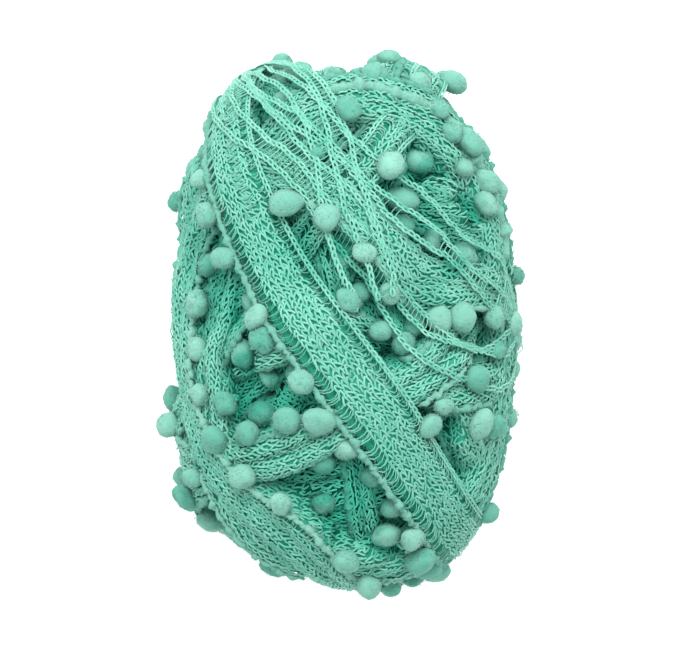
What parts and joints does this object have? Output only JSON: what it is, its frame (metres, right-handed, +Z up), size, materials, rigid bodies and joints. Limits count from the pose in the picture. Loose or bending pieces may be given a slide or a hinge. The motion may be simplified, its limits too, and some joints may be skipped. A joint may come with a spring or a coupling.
{
  "type": "ball of pom pom yarn",
  "caption": "Oval ball of novelty yarn: a knitted tape with small fluffy pompoms along its edge, wound round and round, lying on its back.",
  "frame": {"origin": "middle of the small flat spot that the ball rests on, at the surface it lies on", "axes": "+Y along the ball's length, towards the top of the picture; +X across it, to the picture's right; +Z up, towards the viewer"},
  "size_m": [0.1033, 0.1532, 0.089],
  "materials": {
    "knitted_tape": "soft lustre",
    "pompom_pile": "matt, fuzzy"
  },
  "bodies": {
    "root": {"pompom_string_01": "pompom_pile", "pompom_string_02": "pompom_pile", "pompom_string_03": "pompom_pile", "pompom_string_04": "pompom_pile", "pompom_string_05": "pompom_pile", "pompom_string_06": "pompom_pile", "pompom_string_07": "pompom_pile", "pompom_string_08": "pompom_pile", "pompom_string_09": "pompom_pile", "pompom_string_10": "pompom_pile", "pompom_string_11": "pompom_pile", "pompom_string_12": "pompom_pile", "pompom_string_13": "pompom_pile", "pompom_string_14": "pompom_pile", "pompom_string_15": "pompom_pile", "pompom_string_16": "pompom_pile", "pompom_string_17": "pompom_pile", "pompom_string_18": "pompom_pile", "pompom_string_19": "pompom_pile", "pompom_string_20": "pompom_pile", "pompom_string_21": "pompom_pile", "pompom_string_22": "pompom_pile", "pompom_string_23": "pompom_pile", "pompom_string_24": "pompom_pile", "wound_ball": "knitted_tape"}
  },
  "joints": []
}
